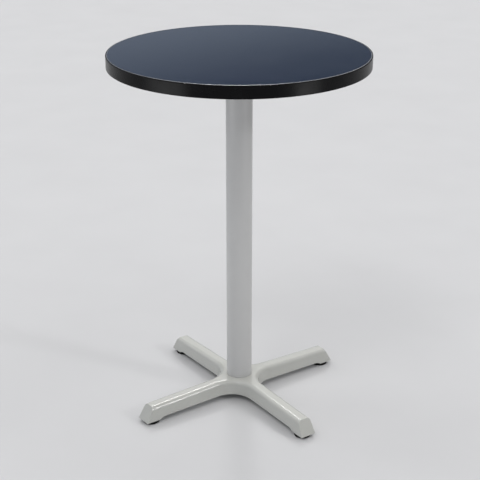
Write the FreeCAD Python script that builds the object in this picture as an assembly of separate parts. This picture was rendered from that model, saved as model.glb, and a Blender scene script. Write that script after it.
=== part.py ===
import FreeCAD, Part
import math
import os
from FreeCAD import Vector

# A bar-height pedestal table: a round laminate top, one round column and a four-armed cast base on
# screw-out glides. Millimetres, +Z up, origin on the floor under the column, arms along X and Y.

# Table top
TABLE_HEIGHT = 1067.0
TOP_DIAMETER = 740.0
CORE_THICKNESS = 34.2
LAMINATE_THICKNESS = 1.0
BACKER_THICKNESS = 0.6

# Edge band: a wall round the rim with a barbed tongue in the core's slot
BAND_WALL = 3.0
BAND_CORNER_RADIUS = 2.0
BAND_FIT = 0.1
TONGUE_DEPTH = 10.0
TONGUE_THICKNESS = 1.6
BARB_HEIGHT = 0.4
BARB_COUNT = 3
TONGUE_CLEARANCE = 0.1

# Spider: the cast plate that carries the top
SPIDER_SPAN = 305.0
SPIDER_ROOT_WIDTH = 44.0
SPIDER_TIP_WIDTH = 30.0
SPIDER_ROOT_THICKNESS = 12.0
SPIDER_TIP_THICKNESS = 6.0
FLANGE_MARGIN = 14.0
PLUG_FLOOR_THICKNESS = 10.0

# Screws that hold the spider to the top
SCREW_SHANK_DIAMETER = 4.8
SCREW_LENGTH = 25.4
SCREW_POINT_LENGTH = 5.0
SCREW_HEAD_DIAMETER = 9.4
SCREW_HEAD_HEIGHT = 3.2
SCREW_HEAD_ROUND = 1.6
SCREW_SEAT_THICKNESS = 5.0
SCREW_TIP_INSET = 17.5
SCREW_SPACING = 50.0
SCREW_HOLE_CLEARANCE = 0.2
SCREW_SPOT_CLEARANCE = 1.8
PILOT_CLEARANCE = 0.05
DRIVE_SLOT_WIDTH = 1.2
DRIVE_SLOT_LENGTH = 5.0
DRIVE_SLOT_DEPTH = 1.8

# Column and its tie rod
COLUMN_DIAMETER = 76.2
COLUMN_WALL = 2.0
SPIGOT_CLEARANCE = 0.3
ROD_DIAMETER = 12.7
ROD_HOLE_CLEARANCE = 0.4
ROD_PROTRUSION = 1.4
ROD_END_GAP = 1.0
ROD_CHAMFER = 1.2
THREAD_CLEARANCE = 0.05
NUT_ACROSS_FLATS = 19.0
NUT_HEIGHT = 11.0
WASHER_DIAMETER = 34.0
WASHER_THICKNESS = 2.6
WASHER_POCKET_CLEARANCE = 1.5

# Base casting
BASE_SPREAD = 695.0
BASE_HEIGHT = 64.0
ARM_FOOT_WIDTH = 50.4
ARM_CROWN_WIDTH = 40.0
ARM_CROWN_RADIUS = 13.0
ARM_UNDERSIDE_HEIGHT = 20.8
ARM_UNDERSIDE_FALL = 3.6
ARM_FALL = 10.5
SEAT_MARGIN = 2.0
HUB_MARGIN = 21.5
TOE_SLOPE = 28.5
TOE_EDGE_RADIUS = 2.0
TOE_LENGTH = 43.0
HEEL_RUN = 22.0
BASE_WALL = 5.5
BASE_TOP_PLATE = 8.0
LOCATING_RING_HEIGHT = 12.0
LOCATING_RING_WALL = 8.0
HUB_BOSS_DIAMETER = 40.0
HUB_BOSS_DROP = 19.0

# Levelling glides
GLIDE_INSET = 29.0
GLIDE_BOSS_DIAMETER = 20.0
PAD_DIAMETER = 48.0
PAD_SHOULDER_DIAMETER = 40.0
PAD_HEIGHT = 9.5
PAD_RIM_HEIGHT = 6.0
PAD_EDGE_RADIUS = 1.5
PAD_TOE_GAP = 0.5
BALL_DIAMETER = 7.2
BALL_FLOOR = 1.6
SOCKET_CLEARANCE = 0.1
SOCKET_LIP = 1.6
DISH_DIAMETER = 14.0
NECK_DIAMETER = 5.0
HEX_ACROSS_FLATS = 14.0
HEX_HEIGHT = 5.5
HEX_PAD_GAP = 0.7
HEX_BOSS_GAP = 0.5
STUD_DIAMETER = 9.525
STUD_LENGTH = 25.4
STUD_CHAMFER = 1.0
BORE_END_GAP = 1.5

# How far a cutting solid runs past the faces that it cuts, and how near two places count as one
OVERRUN = 5.0
SAME_PLACE = 0.001

# Heights and radii that follow from the sizes above
top_underside = TABLE_HEIGHT - LAMINATE_THICKNESS - CORE_THICKNESS - BACKER_THICKNESS
core_bottom = top_underside + BACKER_THICKNESS
core_top = core_bottom + CORE_THICKNESS
core_middle = (core_bottom + core_top) / 2
top_radius = TOP_DIAMETER / 2
core_radius = top_radius - BAND_WALL - BAND_FIT
column_radius = COLUMN_DIAMETER / 2
column_bore_radius = column_radius - COLUMN_WALL
column_top = top_underside - SPIDER_ROOT_THICKNESS
plug_radius = column_bore_radius - SPIGOT_CLEARANCE
flange_radius = column_radius + FLANGE_MARGIN
pocket_floor = top_underside - ROD_END_GAP - ROD_PROTRUSION - NUT_HEIGHT - WASHER_THICKNESS
rod_radius = ROD_DIAMETER / 2
rod_hole_radius = rod_radius + ROD_HOLE_CLEARANCE
thread_hole_radius = rod_radius + THREAD_CLEARANCE
hub_boss_bottom = BASE_HEIGHT - BASE_TOP_PLATE - HUB_BOSS_DROP
lower_nut_bottom = hub_boss_bottom - WASHER_THICKNESS - NUT_HEIGHT
upper_nut_bottom = pocket_floor + WASHER_THICKNESS
screw_seat = top_underside - SCREW_SEAT_THICKNESS
screw_point = screw_seat + SCREW_LENGTH
outer_screw_radius = SPIDER_SPAN / 2 - SCREW_TIP_INSET
inner_screw_radius = outer_screw_radius - SCREW_SPACING
toe_bottom = PAD_HEIGHT + PAD_TOE_GAP
toe_radius = BASE_SPREAD / 2
seat_radius = column_radius + SEAT_MARGIN
glide_radius = toe_radius - GLIDE_INSET
hex_bottom = PAD_HEIGHT + HEX_PAD_GAP
hex_top = hex_bottom + HEX_HEIGHT
stud_top = hex_top + STUD_LENGTH
glide_boss_bottom = hex_top + HEX_BOSS_GAP
ball_radius = BALL_DIAMETER / 2
ball_height = BALL_FLOOR + ball_radius

# The arms' sides lean in towards the crown, and one round notch fills the corner between two arms
arm_draft = (ARM_FOOT_WIDTH - ARM_CROWN_WIDTH) / 2 / (BASE_HEIGHT - toe_bottom)
notch_centre = (column_radius + HUB_MARGIN - ARM_CROWN_WIDTH / 2) / (math.sqrt(2) - 1)

# The four sides, each with the turn that takes the +X arm to it
SIDES = {"right": 0, "back": 90, "left": 180, "front": 270}
UP = Vector(0, 0, 1)
ORIGIN = Vector(0, 0, 0)


def turned(shape, degrees):
    """A copy of a shape, turned about the column's axis."""
    copy = shape.copy()
    copy.rotate(ORIGIN, UP, degrees)
    return copy


def around(shape):
    """Four copies of a shape, one for each arm."""
    return [turned(shape, degrees) for degrees in SIDES.values()]


def moved(shape, x):
    """A copy of a shape, moved out along the +X arm."""
    copy = shape.copy()
    copy.translate(Vector(x, 0, 0))
    return copy


def cylinder(radius, bottom, top):
    return Part.makeCylinder(radius, top - bottom, Vector(0, 0, bottom))


def polygon_edges(points):
    """Straight edges that join radius and height pairs, in order."""
    corners = [Vector(radius, 0, height) for radius, height in points]
    return [Part.makeLine(start, end) for start, end in zip(corners, corners[1:])]


def round_edge(centre, radius, start_degrees, end_degrees):
    """An arc about a centre given as a radius and a height."""
    points = []
    for angle in (start_degrees, (start_degrees + end_degrees) / 2, end_degrees):
        across = centre[0] + radius * math.cos(math.radians(angle))
        height = centre[1] + radius * math.sin(math.radians(angle))
        points.append(Vector(across, 0, height))
    return Part.Arc(*points).toShape()


def revolved(edges):
    """The solid that a closed outline of radius and height sweeps about the Z axis."""
    section = Part.Face(Part.Wire(Part.__sortEdges__(edges)))
    return section.revolve(ORIGIN, UP, 360)


def turned_bar(points):
    """A round bar from its outline of radius and height pairs, closed along the axis."""
    return revolved(polygon_edges(points + points[:1]))


def hexagon(across_flats, bottom, top):
    """A hexagonal bar whose ends are turned down at 30 degrees."""
    corner = across_flats / 2 / math.cos(math.radians(30))
    bevel = (corner - across_flats / 2) * math.tan(math.radians(30))
    first = Vector(corner, 0, bottom)
    corners = [FreeCAD.Rotation(UP, 60 * step).multVec(first) for step in range(7)]
    bar = Part.Face(Part.makePolygon(corners)).extrude(Vector(0, 0, top - bottom))
    limit = [(0, bottom), (across_flats / 2, bottom), (corner, bottom + bevel),
             (corner, top - bevel), (across_flats / 2, top), (0, top)]
    return bar.common(turned_bar(limit))


def at_screws(shape):
    """Copies of a shape at all the screws: two along every arm of the spider."""
    return around(moved(shape, inner_screw_radius)) + around(moved(shape, outer_screw_radius))


# Table top

def screw_pilot():
    """A screw's hole in the boards, as deep as the screw and pointed like it."""
    radius = SCREW_SHANK_DIAMETER / 2 + PILOT_CLEARANCE
    point = screw_point + PILOT_CLEARANCE
    return turned_bar([(0, screw_seat), (radius, screw_seat), (radius, point - SCREW_POINT_LENGTH), (0, point)])


def make_core():
    half_slot = TONGUE_THICKNESS / 2 + BARB_HEIGHT + TONGUE_CLEARANCE
    slot_radius = top_radius - BAND_WALL - TONGUE_DEPTH - TONGUE_CLEARANCE
    slot = cylinder(top_radius, core_middle - half_slot, core_middle + half_slot)
    slot = slot.cut(cylinder(slot_radius, core_middle - half_slot, core_middle + half_slot))
    board = cylinder(core_radius, core_bottom, core_top)
    return board.cut([slot] + at_screws(screw_pilot()))


def make_laminate():
    return cylinder(core_radius, core_top, TABLE_HEIGHT)


def make_backer():
    sheet = cylinder(core_radius, top_underside, core_bottom)
    return sheet.cut(at_screws(screw_pilot()))


def make_edge_band():
    """A wall with round outer corners, and a tongue with barbs on both its faces."""
    inner = top_radius - BAND_WALL
    shoulder = top_radius - BAND_CORNER_RADIUS
    low_corner = top_underside + BAND_CORNER_RADIUS
    high_corner = TABLE_HEIGHT - BAND_CORNER_RADIUS
    lower_face = core_middle - TONGUE_THICKNESS / 2
    pitch = TONGUE_DEPTH / (BARB_COUNT + 1)
    underside = [(inner, lower_face)]
    for barb in range(1, BARB_COUNT + 1):
        heel = inner - barb * pitch
        underside.append((heel, lower_face))
        underside.append((heel, lower_face - BARB_HEIGHT))
        underside.append((heel - pitch / 2, lower_face))
    underside.append((inner - TONGUE_DEPTH, lower_face))
    upperside = [(radius, 2 * core_middle - height) for radius, height in reversed(underside)]
    inside = [(shoulder, top_underside), (inner, top_underside)] + underside
    inside += upperside + [(inner, TABLE_HEIGHT), (shoulder, TABLE_HEIGHT)]
    edges = polygon_edges(inside)
    edges.append(round_edge((shoulder, high_corner), BAND_CORNER_RADIUS, 90, 0))
    edges += polygon_edges([(top_radius, high_corner), (top_radius, low_corner)])
    edges.append(round_edge((shoulder, low_corner), BAND_CORNER_RADIUS, 0, -90))
    return revolved(edges)


def make_screws():
    """Pan-head wood screws, head down, with a crossed driving recess."""
    head_radius = SCREW_HEAD_DIAMETER / 2
    shank_radius = SCREW_SHANK_DIAMETER / 2
    head_bottom = screw_seat - SCREW_HEAD_HEIGHT
    round_centre = (head_radius - SCREW_HEAD_ROUND, head_bottom + SCREW_HEAD_ROUND)
    edges = [round_edge(round_centre, SCREW_HEAD_ROUND, -90, 0)]
    edges += polygon_edges([(head_radius, round_centre[1]), (head_radius, screw_seat), (shank_radius, screw_seat),
                            (shank_radius, screw_point - SCREW_POINT_LENGTH), (0, screw_point),
                            (0, head_bottom), (round_centre[0], head_bottom)])
    corner = Vector(-DRIVE_SLOT_LENGTH / 2, -DRIVE_SLOT_WIDTH / 2, head_bottom)
    slot = Part.makeBox(DRIVE_SLOT_LENGTH, DRIVE_SLOT_WIDTH, DRIVE_SLOT_DEPTH, corner)
    screw = revolved(edges).cut([slot, turned(slot, 90)])
    return Part.makeCompound(at_screws(screw))


# Spider, column and tie rod

def spider_arm():
    """One arm: tapered in plan to a round tip, and thinner underneath towards the tip."""
    reach = SPIDER_SPAN / 2
    root_half = SPIDER_ROOT_WIDTH / 2
    tip_half = SPIDER_TIP_WIDTH / 2
    tip_centre = reach - tip_half
    near = Vector(tip_centre, -tip_half, column_top)
    far = Vector(tip_centre, tip_half, column_top)
    plan = Part.makePolygon([far, Vector(0, root_half, column_top), Vector(0, -root_half, column_top), near]).Edges
    plan.append(Part.Arc(near, Vector(reach, 0, column_top), far).toShape())
    bar = Part.Face(Part.Wire(plan)).extrude(Vector(0, 0, SPIDER_ROOT_THICKNESS))
    thin_edge = top_underside - SPIDER_TIP_THICKNESS
    side = [(0, column_top), (flange_radius, column_top), (reach, thin_edge), (reach, top_underside),
            (0, top_underside), (0, column_top)]
    section = Part.Face(Part.Wire(polygon_edges(side)))
    section.translate(Vector(0, -root_half, 0))
    return bar.common(section.extrude(Vector(0, SPIDER_ROOT_WIDTH, 0)))


def make_spider():
    plug_bottom = pocket_floor - PLUG_FLOOR_THICKNESS
    flange = cylinder(flange_radius, column_top, top_underside)
    plug = cylinder(plug_radius, plug_bottom, top_underside)
    body = flange.fuse(around(spider_arm()) + [plug])
    pocket = cylinder(WASHER_DIAMETER / 2 + WASHER_POCKET_CLEARANCE, pocket_floor, top_underside)
    rod_hole = cylinder(rod_hole_radius, plug_bottom, top_underside)
    hole = cylinder(SCREW_SHANK_DIAMETER / 2 + SCREW_HOLE_CLEARANCE, column_top, top_underside)
    spot = cylinder(SCREW_HEAD_DIAMETER / 2 + SCREW_SPOT_CLEARANCE, column_top, screw_seat)
    return body.cut([pocket, rod_hole] + at_screws(hole) + at_screws(spot))


def make_column():
    return cylinder(column_radius, BASE_HEIGHT, column_top).cut(
        cylinder(column_bore_radius, BASE_HEIGHT, column_top))


def make_tie_rod():
    bottom = lower_nut_bottom - ROD_PROTRUSION
    top = upper_nut_bottom + NUT_HEIGHT + ROD_PROTRUSION
    waist = rod_radius - ROD_CHAMFER
    return turned_bar([(0, bottom), (waist, bottom), (rod_radius, bottom + ROD_CHAMFER),
                       (rod_radius, top - ROD_CHAMFER), (waist, top), (0, top)])


def make_nut(bottom):
    top = bottom + NUT_HEIGHT
    return hexagon(NUT_ACROSS_FLATS, bottom, top).cut(cylinder(thread_hole_radius, bottom, top))


def make_washer(bottom):
    top = bottom + WASHER_THICKNESS
    return cylinder(WASHER_DIAMETER / 2, bottom, top).cut(cylinder(rod_hole_radius, bottom, top))


# Base casting

def toe_reach(height):
    """How far the sloping toe faces stand from the column's axis at a height."""
    return toe_radius - (height - toe_bottom) * math.tan(math.radians(TOE_SLOPE))


def crown_height(radius):
    """The crown's height, which falls evenly from the column's seat to the toes."""
    return BASE_HEIGHT - ARM_FALL * (radius - seat_radius) / (toe_radius - seat_radius)


def under_crown(depth):
    """All the space under the crown, or a depth below it."""
    far = BASE_SPREAD
    low = toe_bottom - 2 * OVERRUN
    seat = BASE_HEIGHT - depth
    return turned_bar([(0, low), (far, low), (far, crown_height(far) - depth), (seat_radius, seat), (0, seat)])


def cross_wire(height, inset, reach):
    """The outline of the four arms at a height, drawn in by an inset, with arms of a given reach."""
    half = ARM_FOOT_WIDTH / 2 - arm_draft * (height - toe_bottom) - inset
    notch_side = notch_centre - (notch_centre - half) / math.sqrt(2)
    corner = [Vector(reach, -half, height), Vector(reach, half, height), Vector(notch_centre, half, height)]
    leaving = [Vector(half, notch_centre, height), Vector(half, reach, height)]
    notch = Part.Arc(corner[-1], Vector(notch_side, notch_side, height), leaving[0]).toShape()
    quarter = Part.makePolygon(corner).Edges + [notch] + Part.makePolygon(leaving).Edges
    return Part.Wire([turned(edge, degrees) for degrees in SIDES.values() for edge in quarter])


def square_wire(height):
    """A square that passes through the four toe faces at a height."""
    reach = toe_reach(height)
    corners = [Vector(reach, -reach, height), Vector(reach, reach, height),
               Vector(-reach, reach, height), Vector(-reach, -reach, height)]
    return Part.makePolygon(corners + corners[:1])


def edge_points(edge):
    """An edge's ends and middle."""
    middle = edge.valueAt((edge.FirstParameter + edge.LastParameter) / 2)
    return [vertex.Point for vertex in edge.Vertexes] + [middle]


def arm_reach(point):
    """How far out along its arm a point lies."""
    return max(abs(point.x), abs(point.y))


def is_crown_edge(edge, reach):
    """True for the long top edges of the arms and notches, not for the seat or those across the arms' ends."""
    points = edge_points(edge)
    radii = [math.hypot(point.x, point.y) for point in points]
    on_crown = all(abs(point.z - crown_height(radius)) < SAME_PLACE for point, radius in zip(points, radii))
    at_seat = all(radius < seat_radius + SAME_PLACE for radius in radii)
    across_end = all(arm_reach(point) > reach - SAME_PLACE for point in points)
    return on_crown and not at_seat and not across_end


def is_toe_edge(edge):
    """True for the edges round a toe face, not for the one along its bottom."""
    points = edge_points(edge)
    on_face = all(abs(arm_reach(point) - toe_reach(point.z)) < SAME_PLACE for point in points)
    return on_face and max(point.z for point in points) > toe_bottom + SAME_PLACE


def base_block():
    """The casting's outer form: four arms with rounded crowns, cut off by sloping toe faces."""
    reach = toe_radius + OVERRUN
    high = BASE_HEIGHT + OVERRUN
    block = Part.makeLoft([cross_wire(toe_bottom, 0, reach), cross_wire(high, 0, reach)], True, True)
    block = block.common(under_crown(0))
    crown_edges = [edge for edge in block.Edges if is_crown_edge(edge, reach)]
    block = block.makeFillet(ARM_CROWN_RADIUS, crown_edges)
    toes = Part.makeLoft([square_wire(toe_bottom - OVERRUN), square_wire(high)], True, True)
    block = block.common(toes)
    return block.makeFillet(TOE_EDGE_RADIUS, [edge for edge in block.Edges if is_toe_edge(edge)])


def underside_space():
    """The space under the arms, which falls along them and curves down at the heels to the toes."""
    heel_end = toe_radius - TOE_LENGTH
    heel_start = heel_end - HEEL_RUN
    heel_top = ARM_UNDERSIDE_HEIGHT - ARM_UNDERSIDE_FALL
    drop = heel_top - toe_bottom
    heel_radius = (HEEL_RUN ** 2 + drop ** 2) / (2 * drop)
    centre = (heel_start, heel_top - heel_radius)
    end_angle = math.degrees(math.atan2(toe_bottom - centre[1], HEEL_RUN))
    low = toe_bottom - OVERRUN
    edges = polygon_edges([(heel_end, toe_bottom), (heel_end, low), (0, low), (0, ARM_UNDERSIDE_HEIGHT),
                           (seat_radius, ARM_UNDERSIDE_HEIGHT), (heel_start, heel_top)])
    edges.append(round_edge(centre, heel_radius, 90, end_angle))
    return revolved(edges)


def make_base():
    block = base_block()
    low = toe_bottom - OVERRUN
    hollow = Part.makeLoft([cross_wire(low, BASE_WALL, toe_reach(low) - BASE_WALL),
                            cross_wire(BASE_HEIGHT, BASE_WALL, toe_reach(BASE_HEIGHT) - BASE_WALL)], True, True)
    hollow = hollow.common(under_crown(BASE_TOP_PLATE))
    glide_boss = cylinder(GLIDE_BOSS_DIAMETER / 2, glide_boss_bottom, BASE_HEIGHT)
    glide_bosses = [boss.common(block) for boss in around(moved(glide_boss, glide_radius))]
    glide_bore = cylinder(STUD_DIAMETER / 2 + THREAD_CLEARANCE, low, stud_top + BORE_END_GAP)
    hub_boss = cylinder(HUB_BOSS_DIAMETER / 2, hub_boss_bottom, BASE_HEIGHT)
    ring_top = BASE_HEIGHT + LOCATING_RING_HEIGHT
    ring = cylinder(plug_radius, BASE_HEIGHT, ring_top)
    ring = ring.cut(cylinder(plug_radius - LOCATING_RING_WALL, BASE_HEIGHT, ring_top))
    shell = block.cut([hollow, underside_space()]).fuse(glide_bosses + [hub_boss, ring])
    rod_hole = cylinder(rod_hole_radius, hub_boss_bottom, ring_top)
    return shell.cut([rod_hole] + around(moved(glide_bore, glide_radius)))


# Levelling glides, made at the axis and moved out to each arm

def make_pad():
    """A foot pad with a socket for the stud's ball and a dish above it."""
    radius = PAD_DIAMETER / 2
    shoulder = PAD_SHOULDER_DIAMETER / 2
    flat = radius - PAD_EDGE_RADIUS
    edges = polygon_edges([(flat, 0), (0, 0), (0, PAD_HEIGHT), (shoulder, PAD_HEIGHT), (radius, PAD_RIM_HEIGHT),
                           (radius, PAD_EDGE_RADIUS)])
    edges.append(round_edge((flat, PAD_EDGE_RADIUS), PAD_EDGE_RADIUS, 0, -90))
    socket = Part.makeSphere(ball_radius + SOCKET_CLEARANCE, Vector(0, 0, ball_height))
    dish = cylinder(DISH_DIAMETER / 2, ball_height + SOCKET_LIP, PAD_HEIGHT)
    return revolved(edges).cut([socket, dish])


def make_stud():
    """A levelling stud: ball, neck, hexagon for a spanner, and a threaded shank drawn as a plain one."""
    radius = STUD_DIAMETER / 2
    ball = Part.makeSphere(ball_radius, Vector(0, 0, ball_height))
    neck = cylinder(NECK_DIAMETER / 2, ball_height, hex_bottom)
    shank = turned_bar([(0, hex_top), (radius, hex_top), (radius, stud_top - STUD_CHAMFER),
                        (radius - STUD_CHAMFER, stud_top), (0, stud_top)])
    return ball.fuse([neck, hexagon(HEX_ACROSS_FLATS, hex_bottom, hex_top), shank])


def save(name, shape):
    shape.removeSplitter().exportStep(f"parts/{name}.step")


os.makedirs("parts", exist_ok=True)
save("top_core", make_core())
save("top_laminate", make_laminate())
save("backer_sheet", make_backer())
save("edge_band", make_edge_band())
save("top_screws", make_screws())
save("top_spider", make_spider())
save("column_tube", make_column())
save("tie_rod", make_tie_rod())
save("upper_washer", make_washer(pocket_floor))
save("upper_nut", make_nut(upper_nut_bottom))
save("lower_washer", make_washer(hub_boss_bottom - WASHER_THICKNESS))
save("lower_nut", make_nut(lower_nut_bottom))
save("base_casting", make_base())
for side, degrees in SIDES.items():
    save(f"{side}_glide_pad", turned(moved(make_pad(), glide_radius), degrees))
    save(f"{side}_glide_stud", turned(moved(make_stud(), glide_radius), degrees))
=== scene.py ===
import math
import bmesh
import bpy
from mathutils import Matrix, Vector


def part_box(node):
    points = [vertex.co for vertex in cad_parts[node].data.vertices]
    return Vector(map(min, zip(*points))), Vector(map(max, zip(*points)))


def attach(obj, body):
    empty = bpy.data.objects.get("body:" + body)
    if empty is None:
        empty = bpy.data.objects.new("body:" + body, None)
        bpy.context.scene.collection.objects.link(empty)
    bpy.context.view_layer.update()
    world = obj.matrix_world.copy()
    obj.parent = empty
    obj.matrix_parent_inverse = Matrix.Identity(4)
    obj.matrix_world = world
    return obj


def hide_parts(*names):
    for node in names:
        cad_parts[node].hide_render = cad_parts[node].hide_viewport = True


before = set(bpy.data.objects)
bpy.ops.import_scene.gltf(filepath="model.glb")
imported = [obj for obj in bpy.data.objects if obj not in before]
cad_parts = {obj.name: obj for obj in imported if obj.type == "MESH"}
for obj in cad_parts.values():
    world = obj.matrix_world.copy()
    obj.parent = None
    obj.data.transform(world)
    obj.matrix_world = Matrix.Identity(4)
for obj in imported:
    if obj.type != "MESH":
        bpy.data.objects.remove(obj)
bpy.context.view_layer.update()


# Base casting: one iron casting with four arms round a hub, hollow and open underneath.
# Its crown is rounded and falls a little towards the toes, and the toes slope back.
# It is drilled and tapped, then powder coated light grey.
base_low, base_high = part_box("base_casting")
column_low, column_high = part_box("column_tube")
TOE_REACH = base_high.x
TOE_BOTTOM = base_low.z
SEAT_HEIGHT = column_low.z
SEAT_MARGIN = 0.002
SEAT_RADIUS = column_high.x + SEAT_MARGIN
ARM_FOOT_HALF = 0.0252
ARM_CROWN_HALF = 0.020
ARM_FALL = 0.0105
ARM_SPARE = 0.005
NOTCH_CENTRE = 0.0956
NOTCH_STEPS = 15
CROWN_SETBACK = 0.0117
CROWN_STEPS = 12
TOE_SLOPE = math.radians(28.5)
TOE_SETBACK = 0.0017
TOE_STEPS = 4
CASTING_WALL = 0.0055
UNDERSIDE_HEIGHT = 0.0208
UNDERSIDE_FALL = 0.0036
HEEL_START = 0.2825
HEEL_ROUND = 0.0372
HEEL_STEPS = 12
HEEL_SIDES = 128
HUB_BOSS_RADIUS = 0.020
HUB_BOSS_BOTTOM = 0.037
ROD_HOLE_RADIUS = 0.00675
RING_RADIUS = 0.0358
RING_WALL = 0.008
GLIDE_REACH = 0.3185
GLIDE_BOSS_RADIUS = 0.010
GLIDE_BOSS_BOTTOM = 0.0162
GLIDE_BOSS_TOP = 0.043
GLIDE_BORE_RADIUS = 0.00481
GLIDE_BORE_TOP = 0.0426
CREASE = 32
SHARP = math.radians(40)
TINY = 1e-5
SAW_TOLERANCE = TINY / 10
UP = Vector((0, 0, 1))
SIDES = {"right": Vector((1, 0, 0)), "back": Vector((0, 1, 0)),
         "left": Vector((-1, 0, 0)), "front": Vector((0, -1, 0))}
CASTING_GREYS = ((0.502, 0.505, 0.476, 1), (0.520, 0.523, 0.494, 1))
BLOTCH_LOW = 0.3
BLOTCH_HIGH = 0.7


def add(primitive, name, **options):
    """Add a primitive as a new piece, with nothing else selected, and open it in edit mode."""
    bpy.ops.object.select_all(action="DESELECT")
    primitive(**options)
    bpy.ops.object.transform_apply(location=True, rotation=True)
    piece = bpy.context.active_object
    piece.name = name
    piece.data.name = name
    bpy.ops.object.mode_set(mode="EDIT")
    return piece


def pick(kind, test):
    """In edit mode, select the verts, edges or faces that pass a test, and nothing else."""
    mesh = bpy.context.active_object.data
    bpy.ops.mesh.select_mode(type={"verts": "VERT", "edges": "EDGE", "faces": "FACE"}[kind])
    bpy.ops.mesh.select_all(action="DESELECT")
    shape = bmesh.from_edit_mesh(mesh)
    for part in getattr(shape, kind):
        part.select_set(test(part))
    shape.select_flush_mode()
    bmesh.update_edit_mesh(mesh)


def lying(test):
    """A test that an edge or face passes when all its corners pass."""
    return lambda part: all(test(corner.co) for corner in part.verts)


def in_plane(point, normal):
    """A test that an edge or face passes when it lies in a plane."""
    return lying(lambda place: abs((place - point).dot(normal)) < TINY)


def creased(edge, angle=SHARP):
    """True when the two faces at an edge turn by more than an angle."""
    return edge.is_manifold and edge.calc_face_angle() > angle


def inset(thickness, depth):
    """Draw a smaller face inside the selected one, and move it along its normal."""
    bpy.ops.mesh.inset(thickness=thickness, depth=depth)


def close_up():
    """Merge doubled points, turn every face outwards and leave edit mode."""
    bpy.ops.mesh.select_all(action="SELECT")
    bpy.ops.mesh.remove_doubles(threshold=TINY)
    bpy.ops.mesh.normals_make_consistent(inside=False)
    bpy.ops.object.mode_set(mode="OBJECT")


def saw(point, normal):
    """In edit mode, cut off what lies beyond a plane, and close the cut."""
    bpy.ops.mesh.select_all(action="SELECT")
    bpy.ops.mesh.bisect(plane_co=point, plane_no=normal, clear_outer=True, threshold=SAW_TOLERANCE)
    at_cut = in_plane(point, normal)
    pick("edges", lambda edge: edge.is_boundary and at_cut(edge))
    bpy.ops.mesh.edge_face_add()


def choose(piece):
    """Make a piece the only selected object."""
    bpy.ops.object.select_all(action="DESELECT")
    piece.select_set(True)
    bpy.context.view_layer.objects.active = piece


def modify(piece, kind, **settings):
    """Give a piece a modifier and apply it."""
    choose(piece)
    bpy.ops.object.modifier_add(type=kind)
    modifier = piece.modifiers[-1]
    for setting, value in settings.items():
        setattr(modifier, setting, value)
    bpy.ops.object.modifier_apply(modifier=modifier.name)


def combine(piece, tool, operation):
    """Fuse a tool to a piece, cut it out, or keep what both share, and drop the tool."""
    modify(piece, "BOOLEAN", operation=operation, object=tool, solver="EXACT")
    bpy.data.objects.remove(tool)


def round_bar(name, radius, bottom, top, place=(0, 0), sides=64):
    """A plain round bar that stands at a place, to be shaped, fused to a piece or cut out of it."""
    middle = (place[0], place[1], (bottom + top) / 2)
    bar = add(bpy.ops.mesh.primitive_cylinder_add, name, vertices=sides, radius=radius, depth=top - bottom,
              location=middle)
    bpy.ops.object.mode_set(mode="OBJECT")
    return bar


def smooth(piece, degrees):
    """Shade a piece smooth, with creases past an angle and its flat faces kept flat."""
    choose(piece)
    bpy.ops.object.shade_smooth_by_angle(angle=math.radians(degrees))
    modify(piece, "WEIGHTED_NORMAL", keep_sharp=True)


def in_hub(point):
    """True in the square where the arms cross."""
    return max(abs(point.x), abs(point.y)) < ARM_FOOT_HALF + TINY


def at_root(point):
    """True on the crown inside the roots of the arms."""
    return point.z > SEAT_HEIGHT - TINY and max(abs(point.x), abs(point.y)) < NOTCH_CENTRE + TINY


# A plate at the hub, four arms drawn out of it, and round notches between them
base = add(bpy.ops.mesh.primitive_plane_add, "base_cast_body", size=2 * ARM_FOOT_HALF,
           location=(0, 0, TOE_BOTTOM))
for out in SIDES.values():
    pick("edges", lying(lambda point: in_hub(point) and point.dot(out) > ARM_FOOT_HALF - TINY))
    arm = out * (TOE_REACH + ARM_SPARE - ARM_FOOT_HALF)
    bpy.ops.mesh.extrude_region_move(TRANSFORM_OT_translate={"value": arm})
bpy.ops.mesh.select_mode(type="FACE")
bpy.ops.mesh.select_all(action="SELECT")
bpy.ops.mesh.dissolve_faces()
pick("verts", lambda corner: in_hub(corner.co))
bpy.ops.mesh.bevel(offset=NOTCH_CENTRE - ARM_FOOT_HALF, segments=NOTCH_STEPS, affect="VERTICES")

# The crown, drawn up and in from the foot; it falls towards the toes, and its edges are rounded over
bpy.ops.mesh.select_mode(type="FACE")
bpy.ops.mesh.select_all(action="SELECT")
inset(ARM_FOOT_HALF - ARM_CROWN_HALF, SEAT_HEIGHT - TOE_BOTTOM)
root_reach = max(corner.co.x for corner in bmesh.from_edit_mesh(base.data).verts if at_root(corner.co))
for out in SIDES.values():
    pick("verts", lambda corner: at_root(corner.co) and corner.co.dot(out) > root_reach - TINY)
    bpy.ops.mesh.vert_connect()
shape = bmesh.from_edit_mesh(base.data)
for corner in shape.verts:
    feet = [edge.other_vert(corner) for edge in corner.link_edges
            if edge.other_vert(corner).co.z < TOE_BOTTOM + TINY]
    if corner.co.z > SEAT_HEIGHT - TINY and feet:
        fall = ARM_FALL * (corner.co.xy.length - SEAT_RADIUS) / (TOE_REACH - SEAT_RADIUS)
        corner.co = corner.co.lerp(feet[0].co, fall / (SEAT_HEIGHT - TOE_BOTTOM))
bmesh.update_edit_mesh(base.data)
bpy.ops.mesh.select_all(action="SELECT")
bpy.ops.mesh.normals_make_consistent(inside=False)
along_crown = lying(lambda point: point.z > SEAT_HEIGHT - 2 * ARM_FALL)
pick("edges", lambda edge: creased(edge) and along_crown(edge))
bpy.ops.mesh.bevel(offset=CROWN_SETBACK, segments=CROWN_STEPS, affect="EDGES")

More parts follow.
